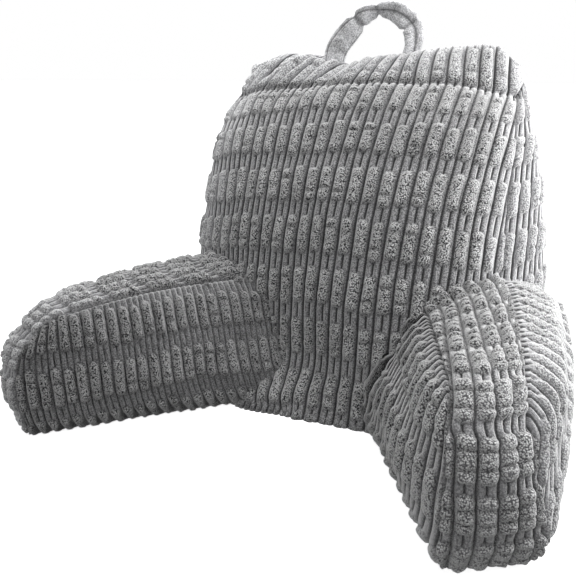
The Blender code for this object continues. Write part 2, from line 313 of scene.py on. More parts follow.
def ribbedPanel(name, grid, u, v, seed, lie=flatLie, sewn=(1, 1, 0, 1), folds=0.0, nap=0.0, groove=1.0):
    # the cloth laid over a cover's grid; sewn flags its first and last row and column
    points = grid[..., :3]
    normals = grid[..., 3:]
    normals = normals / np.linalg.norm(normals, axis=2, keepdims=True)
    distance = seamDistance(points, sewn)[0]
    relief, pile, toneAndPaintedLight, paintedCavityShade, *cloth = corduroyRelief(u, v, seed, lie)
    fade = smoothStep(distance / 0.0024)
    height = relief * fade - corduroy["seamDepth"] * np.exp(-(distance / 0.0034) ** 2) - corduroy["inset"]
    lumps = corduroy["lumps"] * lie["lumps"] * softNoise(u / 0.034, v / 0.040, seed + 40)
    height += lumps * smoothStep(distance / 0.02)
    height += folds
    if not sewn[0]:  # puckers where the cover comes out of the joint
        gathers = softNoise(u / 0.030, v / 0.012, seed + 60)
        height += corduroy["pucker"] * gathers * np.exp(-(seamDistance(points)[1] / 0.022) ** 2)
    final = points + normals * height[..., None]
    onFloor = points[..., 2] < 0.0005
    final[..., 2] = np.where(onFloor, 0.0, np.maximum(final[..., 2], 0.0))
    # painted shade along the seams, as strong as the grooves' painted shade
    paintedCavityShade = np.maximum(paintedCavityShade, 0.55 * groove * np.exp(-(distance / 0.0022) ** 2))
    # each pill's random tone, plus the panel's painted light and shade
    layers = {"pile": pile * fade, "toneAndPaintedLight": toneAndPaintedLight + nap, "paintedCavityShade": paintedCavityShade,
              "groove": np.full(pile.shape, groove)}
    return gridMesh(name, final, layers, cloth)


def gridMesh(name, points, layers, cloth):  # a sheet through the points, with its layers and its map
    across, along = points.shape[:2]
    bm = bmesh.new()
    bmesh.ops.create_grid(bm, x_segments=across - 1, y_segments=along - 1, size=1.0)
    mesh = asMesh(name, bm)
    flat = readVectors(mesh)
    i = np.rint((flat[:, 0] + 1.0) / 2.0 * (across - 1)).astype(int)
    j = np.rint((flat[:, 1] + 1.0) / 2.0 * (along - 1)).astype(int)
    mesh.vertices.foreach_set("co", points[i, j].ravel())
    for label, values in layers.items():
        layer = mesh.attributes.new(label, "FLOAT", "POINT")
        layer.data.foreach_set("value", values[i, j].ravel())
    mapCloth(mesh, cloth, i, j)
    mesh.update()
    return mesh


def mapCloth(mesh, cloth, i, j):  # the map counts ribs across and rows of pills along
    corners = np.empty(len(mesh.loops), dtype=int)
    mesh.loops.foreach_get("vertex_index", corners)
    flat = np.stack([values[i, j] for values in cloth], axis=1)[corners]
    for old in mesh.uv_layers[:]:
        mesh.uv_layers.remove(old)
    mesh.uv_layers.new(name="cloth").data.foreach_set("uv", flat.ravel())


def boundaryEdges(bm):
    return [edge for edge in bm.edges if len(edge.link_faces) == 1]


def linkPiece(name, bm, material):
    bmesh.ops.recalc_face_normals(bm, faces=bm.faces)
    mesh = asMesh(name, bm)
    mesh.polygons.foreach_set("use_smooth", [True] * len(mesh.polygons))
    mesh.materials.append(material)
    return addObject(name, mesh)


def towards(point, core):  # the way from a point to the cushion's core line
    start, end = Vector(core[0]), Vector(core[1])
    share = clamp((point - start).dot(end - start) / (end - start).length_squared)
    return (start.lerp(end, share) - point).normalized()


def closedPanel(name, mesh, core):  # its edges turned in, and closed behind
    bm = asBmesh(mesh)
    turned = bmesh.ops.extrude_edge_only(bm, edges=boundaryEdges(bm))
    for item in turned["geom"]:
        if isinstance(item, bmesh.types.BMVert):
            item.co += towards(item.co, core) * corduroy["turnIn"]
    bmesh.ops.contextual_create(bm, geom=boundaryEdges(bm))
    return linkPiece(name, bm, plushCloth)


def sewPanel(name, core, grid, u, v, seed, **look):
    pieces[name] = closedPanel(name, ribbedPanel(name, grid, u, v, seed, **look), core)


def sewBase(name, core, grid):  # the flat underside, drawn in under the cover's ribs
    na, nb = underside["cells"]
    grid = refine(grid, na + 1, nb + 1)
    bm = bmesh.new()
    bmesh.ops.create_grid(bm, x_segments=na, y_segments=nb, size=1.0)
    for vert in bm.verts:
        i = round((vert.co.x + 1.0) / 2.0 * na)
        j = round((vert.co.y + 1.0) / 2.0 * nb)
        vert.co = (grid[i, j, 0], grid[i, j, 1], 0.0)
        vert.co += towards(vert.co, core) * corduroy["inset"] * underside["drawnIn"]
        vert.co.z = 0.0
    turned = bmesh.ops.extrude_face_region(bm, geom=bm.faces[:])
    for item in turned["geom"]:
        if isinstance(item, bmesh.types.BMVert):
            item.co.z = underside["thick"]
    pieces[name] = linkPiece(name, bm, plushCloth)


# the material


def toLinear(code):  # sRGB hex to a linear colour
    channels = [int(code[k:k + 2], 16) / 255.0 for k in (1, 3, 5)]
    return (*[c / 12.92 if c <= 0.04045 else ((c + 0.055) / 1.055) ** 2.4 for c in channels], 1.0)


def addNode(tree, kind, settings):  # an output among the settings is linked, anything else is set
    node = tree.nodes.new(kind)
    for key, value in settings.items():
        if isinstance(value, bpy.types.NodeSocket):
            tree.links.new(value, node.inputs[key])
        elif isinstance(key, int) or key in node.inputs:
            node.inputs[key].default_value = value
        else:
            setattr(node, key, value)
    return node


def newMaterial(name):
    material = bpy.data.materials.new(name)
    material.use_nodes = True
    return material, material.node_tree.nodes["Principled BSDF"]


def maths(tree, operation, first, second):
    return addNode(tree, "ShaderNodeMath", {"operation": operation, 0: first, 1: second}).outputs[0]


def mixed(tree, share, low, high):
    return addNode(tree, "ShaderNodeMix", {"data_type": "RGBA", 0: share, 6: low, 7: high}).outputs[2]


def ranged(tree, value, source, target, **how):  # from one range to another
    return addNode(tree, "ShaderNodeMapRange", {
        **how, "Value": value, "From Min": source[0], "From Max": source[1],
        "To Min": target[0], "To Max": target[1]}).outputs["Result"]


plush = {
    "tip": "#eaeaea",       # loops that catch the light
    "pit": "#2e2e30",       # painted shade between the loops
    "ground": "#848486",    # flanks and thin ribs
    "groove": "#282829",    # painted shade deep between the ribs
    "edge": "#ececec",      # painted sheen: the pile seen edge-on, painted this pale
    "paintedSheenShare": 0.85,
    "loopSize": 0.0017,     # drawn a little coarser than the real 1.5 mm loops, so that they show
    "loopDepth": 0.0016,
    "curlSize": 0.0011,
    "curlBend": 0.0007,     # how far the curls bend the loops' outlines
    "streaks": (14.0, 5.0, 1.0),    # to each rib across and to each row of pills along
    "streakDepth": 0.0009,
    "thinPile": 0.32,       # share of the loops that shows on the thin ribs
    "pileInPaintedLight": 0.40,       # and where the most light is painted on
    "grooveWidth": 0.16,    # share of a rib's width
    "thinGroove": 0.24,     # share of a thin rib's
}


def pileLoops(tree, place):  # 1 at the loops' tips, 0 between them
    curls = addNode(tree, "ShaderNodeTexNoise", {"Vector": place, "Scale": 1.0 / plush["curlSize"],
                                                 "Detail": 1.0, "Roughness": 0.6}).outputs["Color"]
    bent = addNode(tree, "ShaderNodeVectorMath", {"operation": "MULTIPLY_ADD", 0: curls,
                                                  1: (plush["curlBend"],) * 3, 2: place}).outputs["Vector"]
    loops = addNode(tree, "ShaderNodeTexVoronoi", {"Vector": bent, "Scale": 1.0 / plush["loopSize"]})
    return ranged(tree, loops.outputs["Distance"], (0.22, 0.76), (1.0, 0.0),
                  interpolation_type="SMOOTHSTEP")


def grooveLines(tree, cloth, pile):  # painted shade: dark where two ribs meet, and down the middle where there is no pill
    ribs = addNode(tree, "ShaderNodeSeparateXYZ", {"Vector": cloth}).outputs["X"]
    doubled = maths(tree, "MULTIPLY", ribs, 2.0)
    lines = []
    for source, wide in ((ribs, plush["grooveWidth"]), (doubled, plush["thinGroove"])):
        away = maths(tree, "PINGPONG", source, 0.5)
        lines.append(ranged(tree, away, (wide / 4, wide), (0.95, 0.0), interpolation_type="SMOOTHSTEP"))
    between = maths(tree, "MULTIPLY", lines[1], maths(tree, "SUBTRACT", 1.0, pile))
    return maths(tree, "MAXIMUM", lines[0], between)


def plushMaterial():
    # looped pile on a brushed ground: light tips and dark pits painted as highlight and shade, painted
    # shade in the grooves, painted light by panel and a painted sheen edge-on, a soft sheen, and no gloss
    material, shader = newMaterial("polyester pill corduroy")
    tree = material.node_tree
    place = addNode(tree, "ShaderNodeTexCoord", {}).outputs["Object"]
    cloth = addNode(tree, "ShaderNodeUVMap", {"uv_map": "cloth"}).outputs["UV"]
    pile, toneAndPaintedLight, paintedCavityShade, groove = (
        addNode(tree, "ShaderNodeAttribute", {"attribute_name": label}).outputs["Fac"]
        for label in ("pile", "toneAndPaintedLight", "paintedCavityShade", "groove"))
    tips = pileLoops(tree, place)
    # painted highlight on the loop tips, painted shade between them
    tufted = mixed(tree, tips, toLinear(plush["pit"]), toLinear(plush["tip"]))
    # the ground is streaked by brushing
    stretched = addNode(tree, "ShaderNodeVectorMath", {"operation": "MULTIPLY", 0: cloth,
                                                       1: plush["streaks"]})
    streaks = addNode(tree, "ShaderNodeTexNoise", {"Vector": stretched.outputs["Vector"], "Scale": 1.0,
                                                   "Detail": 2.0}).outputs["Fac"]
    brushed = ranged(tree, streaks, (0.3, 0.7), (0.52, 1.40))
    smooth = addNode(tree, "ShaderNodeHueSaturation", {"Value": brushed,
                                                       "Color": toLinear(plush["ground"])})
    # on the thin ribs the pile is brushed flatter, and where the most light is painted on, its loops are
    # painted fainter
    share = ranged(tree, pile, (0.0, 1.0), (plush["thinPile"], 1.0))
    calm = ranged(tree, toneAndPaintedLight, (0.8, 3.8), (1.0, plush["pileInPaintedLight"]))
    share = maths(tree, "MULTIPLY", share, calm)
    face = mixed(tree, share, smooth.outputs["Color"], tufted)
    # painted shade in the grooves, at the seams and in the hollows
    paintedShade = maths(tree, "MULTIPLY", grooveLines(tree, cloth, pile), groove)
    paintedShade = maths(tree, "MAXIMUM", paintedShade, paintedCavityShade)
    deep = mixed(tree, paintedShade, face, toLinear(plush["groove"]))
    # brighter or darker by each pill's random tone and by the painted light and shade of each panel
    toneAndLightGain = ranged(tree, toneAndPaintedLight, (0.0, 1.0), (0.92, 1.06), clamp=False)
    shaded = addNode(tree, "ShaderNodeHueSaturation", {"Value": toneAndLightGain, "Color": deep}).outputs["Color"]
    # painted sheen: seen edge-on, the pile hides its grooves, so the colour is painted pale there and the
    # painted groove shade fades
    facing = addNode(tree, "ShaderNodeLayerWeight", {"Blend": 0.5}).outputs["Facing"]
    paintedSheen = ranged(tree, facing, (0.32, 1.0), (0.0, plush["paintedSheenShare"]))
    paintedSheen = maths(tree, "MULTIPLY", paintedSheen, ranged(tree, paintedShade, (0.0, 1.0), (1.0, 0.15)))
    withPaintedSheen = mixed(tree, paintedSheen, shaded, toLinear(plush["edge"]))
    rough = addNode(tree, "ShaderNodeBump", {"Height": maths(tree, "MULTIPLY", tips, share),
                                             "Strength": 1.0, "Distance": plush["loopDepth"]})
    fine = addNode(tree, "ShaderNodeBump", {"Height": streaks, "Normal": rough.outputs["Normal"],
                                            "Strength": 0.8, "Distance": plush["streakDepth"]})
    tree.links.new(withPaintedSheen, shader.inputs["Base Color"])
    tree.links.new(fine.outputs["Normal"], shader.inputs["Normal"])
    shader.inputs["Roughness"].default_value = 0.9
    shader.inputs["Specular IOR Level"].default_value = 0.25
    shader.inputs["Sheen Weight"].default_value = 0.6
    shader.inputs["Sheen Roughness"].default_value = 0.45
    shader.inputs["Sheen Tint"].default_value = (0.95, 0.95, 0.96, 1.0)
    return material


plushCloth = plushMaterial()

# the back cushion: a runs across, b from front to rear, c or share up
back = {
    "counts": (32, 10, 32),     # cells of the block across, through and up
    # the line that its panels' edges turn in towards, and the underside's: half length, depth, level
    "core": (0.10, 0.07, 0.20),
    "baseCore": (0.10, 0.05, 0.02),
    "frontMesh": (362, 262),    # points across, and up and over the top
    "rearMesh": (248, 163),
    "sideCloth": (0.16, 0.46),  # size of a side panel, for its mesh
    "halfTop": 0.208,       # half of the front panel's width at its top seam
    "halfBase": 0.246,      # and full, from so far below the seam
    "widening": 0.26,
    "centreColumn": 11.3,   # rib number under the centre line
    "frontLine": ((-0.0850, 0.000), (-0.0640, 0.024), (-0.0500, 0.056), (-0.0470, 0.135),
                  (-0.0350, 0.200), (-0.0140, 0.262), (0.0180, 0.320), (0.0580, 0.373),
                  (0.1050, 0.413)),
    "rearLine": ((0.135, 0.000), (0.156, 0.040), (0.168, 0.120), (0.184, 0.210),
                 (0.204, 0.300), (0.216, 0.360), (0.222, 0.409)),
    # how far the front has turned backward, in degrees, at a way from its centre line that is
    # counted in the unit: a polynomial. The change is added to it for each level above the first
    "heading": (-11.0, 20.0, 25.0, 28.0),
    "headingChange": (6.7, 12.0, 0.0, -15.0),
    "headingUnit": 0.2375,
    "headingLevel": 0.19,
    "wrapTilt": (27.0, 15.0),   # degrees by which that turn tips down, left and right
    "wrapLow": 0.060,       # below this level the middle turns less
    "tiltLow": 0.12,        # and below this level it tips less
    "footHigh": 0.075,
    "footOut": (0.028, 0.015),  # how far the foot stands forward, left and right
    "footNarrow": 0.030,    # and is drawn in at its left
    "topOut": (0.022, 0.009),   # how far the top corners stand out, left and right
    "rearHalfTop": 0.185,
    "rearHalfBase": 0.222,
    "rearBulge": 0.018,
    "sideBulge": (0.031, 0.047),    # left and right
    "crown": ((-1.0, 0.039), (-0.8, 0.050), (-0.6, 0.049), (-0.4, 0.046), (-0.2, 0.034), (0.0, 0.041),
              (0.2, 0.045), (0.4, 0.051), (0.6, 0.055), (0.8, 0.058), (0.92, 0.047), (1.0, 0.015)),
    # creases over the top, from the front edge to the handle: start and end across, and depth
    "folds": ((-0.86, -0.52, 0.005), (-0.70, -0.36, 0.006), (-0.50, -0.26, 0.005), (-0.30, -0.16, 0.004)),
    "foldRun": 0.10,
    "foldWidth": 0.045,
    "topCrease": 0.0026,    # depth and width of the one along the front's top edge
    "topLean": 0.55,        # of the top's ribs towards the handle
    "topRows": 0.8,         # and how fast its rows of pills follow, against the front's
    "rowShift": 0.009,
    "sideShift": 0.004,     # the side's ribs against its seam
    "sideRows": 0.25,       # and its rows rise towards the rear
    # painted light: how much lighter the colour is painted than in the middle of the front, negative for
    # painted shade
    "topPaintedLight": 3.6,
    "highPaintedShade": -1.6,        # under the top edge
    "seatPaintedShade": -0.4,
    "leftPaintedLight": 6.0,
    "rightPaintedLight": 4.2,
    "inflate": {"pressure": 4.0, "stiffness": 12.0, "frames": 20, "cap": 0.005, "keepSize": 0.9},
}
frontCurve = smoothLine(back["frontLine"])
rearCurve = smoothLine(back["rearLine"])
frontLength = lineLength(frontCurve)
rearLength = lineLength(rearCurve)
crownCurve = np.array(smoothLine(back["crown"]))


def frontWrap(u, rise, steps=24):  # the way round the front, u from its centre: sideways and backward
    sideways, backward = 0.0, 0.0
    step = u / steps
    factors = [base + change * rise for base, change in zip(back["heading"], back["headingChange"])]
    for k in range(steps):
        s = (k + 0.5) * step / back["headingUnit"]
        heading = math.radians(sum(factor * s ** power for power, factor in enumerate(factors)))
        sideways += math.cos(heading) * step
        backward += math.sin(heading) * step
    return sideways, backward


def frontHalf(below):  # half of the front's width, so far below its top seam
    return blend(back["halfTop"], back["halfBase"], math.sin(clamp(below / back["widening"]) * math.pi / 2))


def frontPoint(a, share):
    y, z = alongLine(frontCurve, share * frontLength)
    level = back["headingLevel"]
    sideways, backward = frontWrap(a * frontHalf(frontLength * (1.0 - share)), (z - level) / level)
    backward *= blend(clamp(z / back["wrapLow"]), 1.0, clamp((abs(a) - 0.41) / 0.45))
    tilt = math.radians(blend(*back["wrapTilt"], smoothStep((a + 0.6) / 1.2)))
    fall = backward * math.sin(tilt) * clamp(z / back["tiltLow"])
    foot = clamp(1.0 - z / back["footHigh"]) ** 1.5
    y -= foot * blend(*back["footOut"], smoothStep((a + 0.5) / 1.1)) * (1.0 - a ** 4)
    left, right = back["topOut"]
    sideways += (right * clamp(a) - left * clamp(-a)) * smoothStep((share - 0.55) / 0.4)
    sideways += foot * back["footNarrow"] * clamp(-a) * clamp(2.5 * (1.0 + a))
    return Vector((sideways, y + backward * math.cos(tilt), max(z - fall, 0.0)))


def rearPoint(a, share):
    y, z = alongLine(rearCurve, share * rearLength)
    half = blend(back["rearHalfBase"], back["rearHalfTop"], share)
    bulge = back["rearBulge"] * (1.0 - a * a) * math.sin(math.pi * blend(0.1, 1.0, share))
    return Vector((a * half, y + bulge, z))


def backPlace(a, b, c):  # where a point of the block goes
    share = (c + 1.0) / 2.0
    through = (b + 1.0) / 2.0
    point = frontPoint(a, share).lerp(rearPoint(a, share), through)
    arch = math.sin(math.pi * through)
    if c > onFace:
        point.z += float(np.interp(a, crownCurve[:, 0], crownCurve[:, 1])) * arch
    if abs(a) > onFace:
        wave = math.sin(math.pi * blend(0.2, 0.95, share))
        bulge = back["sideBulge"][int(a > 0.0)] * arch * wave
        point.x += math.copysign(1.0, a) * (bulge - tucked(point.z))
    if b < -onFace:
        point.y += tucked(point.z)
    return point


def frontFolds(a, below, behind):  # shallow creases over the top, and one along its front edge
    folds = 0.0
    for start, end, deep in back["folds"]:
        centre = start + (end - start) * np.clip(behind / back["foldRun"], 0.0, 1.0)
        crease = deep * np.exp(-((a - centre) / back["foldWidth"]) ** 2)
        folds = folds - crease * smoothStep(behind / 0.03)
    return folds - back["topCrease"] * np.exp(-((below - behind) / back["topCrease"]) ** 2)


def frontPaintedLight(a, below, behind):  # painted light behind the top edge and at both side edges, painted shade at the seat and under the top
    nap = back["topPaintedLight"] * smoothStep(behind / 0.02) * (1.2 - 0.8 * a)
    nap = nap + back["seatPaintedShade"] * smoothStep((below - 0.36) / 0.09)
    nap = nap + back["leftPaintedLight"] * smoothStep((-0.6 - a) / 0.4)
    nap = nap + back["highPaintedShade"] * np.exp(-((below - 0.08) / 0.07) ** 2) * smoothStep((a + 0.6) / 0.8)
    return nap + back["rightPaintedLight"] * smoothStep((a - 0.75) / 0.25)


def sewFront(faces, core):  # front and top in one piece: its ribs run up the front and over the top
    run = np.concatenate([faces["front"], faces["top"][:, 1:]], axis=1)
    across, along = back["frontMesh"]
    grid = refine(run, across, along)
    edge = back["counts"][2]  # the row at the top edge of the front
    row = np.linspace(0.0, back["counts"][1] + edge, along)
    up = seamDistance(grid[..., :3])[2]
    atEdge = np.array([[np.interp(edge, row, line)] for line in up])
    behind = np.maximum(up - atEdge, 0.0)
    below = frontLength * (1.0 - np.clip(row / edge, 0.0, 1.0)[None, :])
    a = np.linspace(-1.0, 1.0, across)[:, None]
    half = np.array([frontHalf(distance) for distance in below[0]])[None, :]
    u = back["centreColumn"] * pitch - a * half
    u = u + back["topLean"] * behind * smoothStep((0.6 - a) / 1.2)
    v = below - back["topRows"] * behind - back["rowShift"] * (behind > 0.0)
    sewPanel("backFront", core, grid, u, v, 1, folds=frontFolds(a, below, behind),
             nap=frontPaintedLight(a, below, behind))


def sewRear(faces, core):
    across, along = back["rearMesh"]
    a = np.linspace(-1.0, 1.0, across)[:, None]
    below = np.linspace(rearLength, 0.0, along)[None, :]
    half = blend(back["rearHalfBase"], back["rearHalfTop"], 1.0 - below / rearLength)
    sewPanel("backRear", core, refine(faces["rear"], across, along), a * half + pitch / 2,
             below + 0.0 * a, 2)


def sewSide(name, face, core):  # its ribs stand upright
    wide, high = back["sideCloth"]
    along = samples(high, corduroy["fineAlong"])
    grid = refine(face, samples(wide, corduroy["fineAcross"]), along)
    start = seamDistance(grid[..., :3])[1]
    below = np.linspace(frontLength, 0.0, along)[None, :]
    # the sides get the top's painted light
    sewPanel(name, core, grid, start + back["sideShift"], below + back["sideRows"] * start, 4,
             nap=back["topPaintedLight"])


def coreLine(half, y, z):
    return (-half, y, z), (half, y, z)


backBlock, backLattice = shapedBlock("backBlock", back["counts"], backPlace)
inflate(backBlock, back["inflate"])
print("back cushion inflated")
backFaces = coverFaces(backBlock, backLattice)
backCore = coreLine(*back["core"])
sewBase("backBase", coreLine(*back["baseCore"]), backFaces["underside"])
sewFront(backFaces, backCore)
sewRear(backFaces, backCore)
sewSide("backLeft", backFaces["left"], backCore)
sewSide("backRight", backFaces["right"], backCore)
print("back cushion sewn")

# the arms: a runs along one, b from its inner to its outer side, c up
arms = {
    "armLeft": {
        "crease": (-0.115, -0.103),     # where its inner side leaves the back
        "splay": 43.0,          # degrees
        "side": -1,
        "height": 0.163,
        "reach": 0.243,         # from the crease to the end
        "fall": 0.029,          # of the top towards the end
        "twist": (0.0, 0.0),    # rise of the top's outer edge, by the back and at the end
        "corner": 0.062,        # radius between top and end
        "floorIn": 0.016,
        "seed": 11,
        "slantInner": 0.02,     # of the ribs, for each metre down
        "slantOuter": -0.30,
        "turnUnder": 3.5,       # and how much more at the foot
        "innerPitch": 0.70,     # spacing of the inner side's ribs, against the pitch
        "stripShift": 0.5,      # in ribs
        "endPill": 0.0635,      # way up the end to the middle of its first pill
        # painted light on each panel, negative for painted shade
        "napInner": -1.9, "napOuter": 0.0, "napEnd": 4.4, "napTop": -0.8,
        "napLow": 2.4,          # more painted light at the foot than at the top seam, by so much
        "napRootInner": 0.0, "napRootOuter": 0.0,   # painted shade by the back
        "groove": 0.5,          # share of the grooves' and seams' painted shade
    },
    "armRight": {
        "crease": (0.110, -0.086),
        "splay": 34.5,
        "side": 1,
        "height": 0.172,
        "reach": 0.262,
        "fall": 0.014,
        "twist": (0.018, -0.007),
        "corner": 0.070,
        "floorIn": 0.019,
        "seed": 21,
        "slantInner": 0.05,
        "slantOuter": -0.40,
        "turnUnder": 7.0,
        "innerPitch": 1.22,
        "stripShift": 0.0,
        "endPill": 0.0710,
        # painted light on each panel, negative for painted shade
        "napInner": 1.8, "napOuter": 5.4, "napEnd": 1.9, "napTop": -2.4,
        "napLow": 4.0,
        "napRootInner": 9.0, "napRootOuter": 3.4,
        "groove": 0.9,
    },
    "counts": (30, 8, 12),
    "core": (0.19, 0.06, 0.075),    # as for the back: length, place across and level
    "baseLevel": 0.02,
    "sideCloth": (0.32, 0.18),
    "stripCloth": (0.46, 0.09),
    "stripFiner": (0.85, 0.80),     # its mesh spacing along and across, against the other panels'
    "inside": 0.120,            # how far the block reaches into the back
    "width": (0.104, 0.090),    # at the floor, by the back and at the end
    "widthTop": (0.092, 0.074),
    "lean": (0.052, -0.014),    # of the top to the outside, by the back and at the end
    "crown": 0.013,
    "bulgeIn": 0.016,
    "bulgeOut": (0.092, 0.040),
    "endTuck": 0.011,           # how far the end is drawn in at its foot, and over which height and length
    "endTuckHigh": 0.045,
    "endTuckLong": 0.09,
    "stripPitch": 0.0190,       # the strip's cloth is gathered across, to this rib spacing
    "stripGather": 1.29,        # and along, by this factor
    "rowLevel": 0.8,            # 0: rows follow the top seam, 1: they lie level
    "buried": 0.006,            # depth of the root under the back cushion's cover
    "inflate": {"pressure": 4.0, "stiffness": 12.0, "frames": 20, "cap": 0.006, "keepSize": 0.9},
}


def armLength(arm, a):
    return blend(-arms["inside"], arm["reach"], (a + 1.0) / 2.0)


def splayed(arm, x, y, z):  # x along the arm from its crease, y outward
    turn = math.radians(arm["splay"]) - math.pi / 2
    return Vector((
        arm["crease"][0] + arm["side"] * (math.cos(turn) * x - math.sin(turn) * y),
        arm["crease"][1] + math.sin(turn) * x + math.cos(turn) * y,
        z,
    ))


def armPlace(arm, a, b, c):  # where a point of the block goes
    reach = arm["reach"]
    level = (c + 1.0) / 2.0
    x = armLength(arm, a)
    toEnd = clamp(x / reach)
    top = arm["height"] - arm["fall"] * toEnd ** 2 + b * blend(*arm["twist"], toEnd)
    z = level * top
    # the block's upper end corner is rounded: its square corner goes to the arc
    corner = arm["corner"]
    p = clamp((x - reach + corner) / corner)
    q = clamp((z - top + corner) / corner)
    if p > 0.0 and q > 0.0:
        x = reach - corner + corner * p * math.sqrt(1.0 - q * q / 2.0)
        z = top - corner + corner * q * math.sqrt(1.0 - p * p / 2.0)
    if c > onFace or a > onFace:
        outward = Vector((p, q)).normalized() if p > 0.0 else Vector((0.0, 1.0))
        swell = arms["crown"] * (1.0 - b * b) * clamp(z / 0.05, 0.25, 1.0)
        x += swell * outward.x
        z += swell * outward.y
    toEnd = clamp(x / reach)
    lean = blend(*arms["lean"], toEnd) * level
    belly = math.sqrt(max(1.0 - abs(2.0 * level - 1.0) ** 3, 0.0)) * (1.0 - toEnd ** 5)
    inner = lean - arms["bulgeIn"] * belly + tucked(z) - arm["floorIn"] * (1.0 - level)
    width = blend(blend(*arms["width"], toEnd), blend(*arms["widthTop"], toEnd), level)
    outer = lean + width - tucked(z) + belly * blend(*arms["bulgeOut"], toEnd)
    foot = arms["endTuck"] * clamp(1.0 - z / arms["endTuckHigh"]) ** 2
    x -= clamp((x - reach + arms["endTuckLong"]) / arms["endTuckLong"]) ** 2 * foot
    return splayed(arm, x, blend(inner, outer, (b + 1.0) / 2.0), z)


def backTree():
    bm = asBmesh(backBlock.data)
    tree = BVHTree.FromBMesh(bm)
    bm.free()
    return tree


def depthInBack(tree, point):  # negative outside it
    start = Vector((point[0], point[1], max(point[2], 0.04)))  # above the tucked foot
    distance = tree.find_nearest(start)[3]
    crossings = 0
    while True:  # an odd number of walls above the point means that it is inside
        hit = tree.ray_cast(start, Vector((0.0, 0.0, 1.0)))[0]
        if hit is None:
            break
        crossings += 1
        start = hit + Vector((0.0, 0.0, 1e-5))
    return distance if crossings % 2 else -distance


def rootLine(tree, lines, steps=120, searched=90):
    # for each line along the arm, the row position where it comes out of the back cushion
    position = np.linspace(0, len(lines) - 1, steps + 1)[:, None].repeat(lines.shape[1], axis=1)
    points = splineAlong(lines, position)[..., :3]
    root = np.zeros(lines.shape[1])
    for k in range(lines.shape[1]):
        depths = [depthInBack(tree, point) for point in points[:searched, k]]
        inside = [n for n, depth in enumerate(depths) if depth > arms["buried"]]
        root[k] = position[inside[-1] + 1, k] if inside else 0.0
    kernel = np.ones(7) / 7.0  # evened out over seven lines
    return np.convolve(np.pad(root, 3, mode="edge"), kernel, mode="valid")


def cutAtRoot(tree, face, count, along):
    # a face's grid, sampled from the arm's root line to its end
    columns = np.linspace(0, face.shape[1] - 1, along)[:, None].repeat(len(face), axis=1)
    lines = splineAlong(face.transpose(1, 0, 2), columns).transpose(1, 0, 2)
    start = rootLine(tree, lines)[None, :]
    position = start + (len(face) - 1 - start) * np.linspace(0.0, 1.0, count)[:, None]
    return splineAlong(lines, position), position


def sewArmSide(name, side, face, core, tree, seed):
    arm = arms[name]
    long, high = arms["sideCloth"]
    grid, position = cutAtRoot(tree, face, samples(long, corduroy["fineAcross"]),
                               samples(high, corduroy["fineAlong"]))
    x = armLength(arm, position / arms["counts"][0] * 2.0 - 1.0)
    down = seamDistance(grid[..., :3])[2]
    down = down[:, -1:] - down
    fall = down / down[:, :1]
    u = x + arm["slant" + side] * down
    if side == "Inner":
        u = (u + arm["turnUnder"] * np.maximum(down - 0.11, 0.0) ** 2) / arm["innerPitch"]
        middle = down[int(0.6 * len(down)), 0]  # rows lie level rather than along the top seam
        down = down + arms["rowLevel"] * (middle - down[:, :1])
    # painted light on the side, more towards the foot, and painted shade by the back
    nap = arm["nap" + side] + arm["napLow"] * (fall - 0.5)
    nap = nap - arm["napRoot" + side] * (1.0 - np.clip(x / arm["reach"], 0.0, 1.0)) ** 2
    sewPanel(name + side, core, grid, u, down - 0.002, seed, sewn=(0, 1, 0, 1), nap=nap,
             groove=arm["groove"])


def sewArmStrip(name, faces, core, tree, seed):
    # one strip along the top and down the end, with its rows counted from the floor
    arm = arms[name]
    long, wide = arms["stripCloth"]
    finerAlong, finerAcross = arms["stripFiner"]
    run = np.concatenate([faces["top"], faces["right"].transpose(1, 0, 2)[-2::-1]])
    grid = cutAtRoot(tree, run, samples(long, corduroy["fineAlong"] * finerAlong),
                     samples(wide, corduroy["fineAcross"] * finerAcross))[0]
    fromRoot, across = seamDistance(grid[..., :3])[1:]
    rise = fromRoot[-1:] - fromRoot
    u = (across - across[:, -1:] / 2) * pitch / arms["stripPitch"] + arm["stripShift"] * pitch
    v = period / 2 + (arm["endPill"] - rise) * arms["stripGather"]
    # painted light down the end, painted shade along the top
    nap = blend(arm["napEnd"], arm["napTop"], smoothStep((rise - 0.15) / 0.15))
    sewPanel(name + "Strip", core, grid, u, v, seed, lie=gatheredLie, sewn=(0, 0, 1, 1), nap=nap,
             groove=arm["groove"])


def sewArm(name, tree):
    arm = arms[name]
    block, lattice = shapedBlock(name + "Block", arms["counts"], lambda a, b, c: armPlace(arm, a, b, c))
    inflate(block, arms["inflate"])
    faces = coverFaces(block, lattice)
    bpy.data.objects.remove(block)
    length, y, z = arms["core"]
    core = [splayed(arm, x, y, z) for x in (0.0, length)]
    seed = arm["seed"]
    sewArmSide(name, "Inner", faces["front"], core, tree, seed)
    sewArmSide(name, "Outer", faces["rear"], core, tree, seed + 1)
    sewArmStrip(name, faces, core, tree, seed + 2)
    low = [splayed(arm, x, y, arms["baseLevel"]) for x in (0.0, length)]
    na, nb = underside["cells"]
    sewBase(name + "Base", low, cutAtRoot(tree, faces["underside"], na + 1, nb + 1)[0])
    print(name, "sewn")


tree = backTree()
for name in ("armLeft", "armRight"):
    sewArm(name, tree)

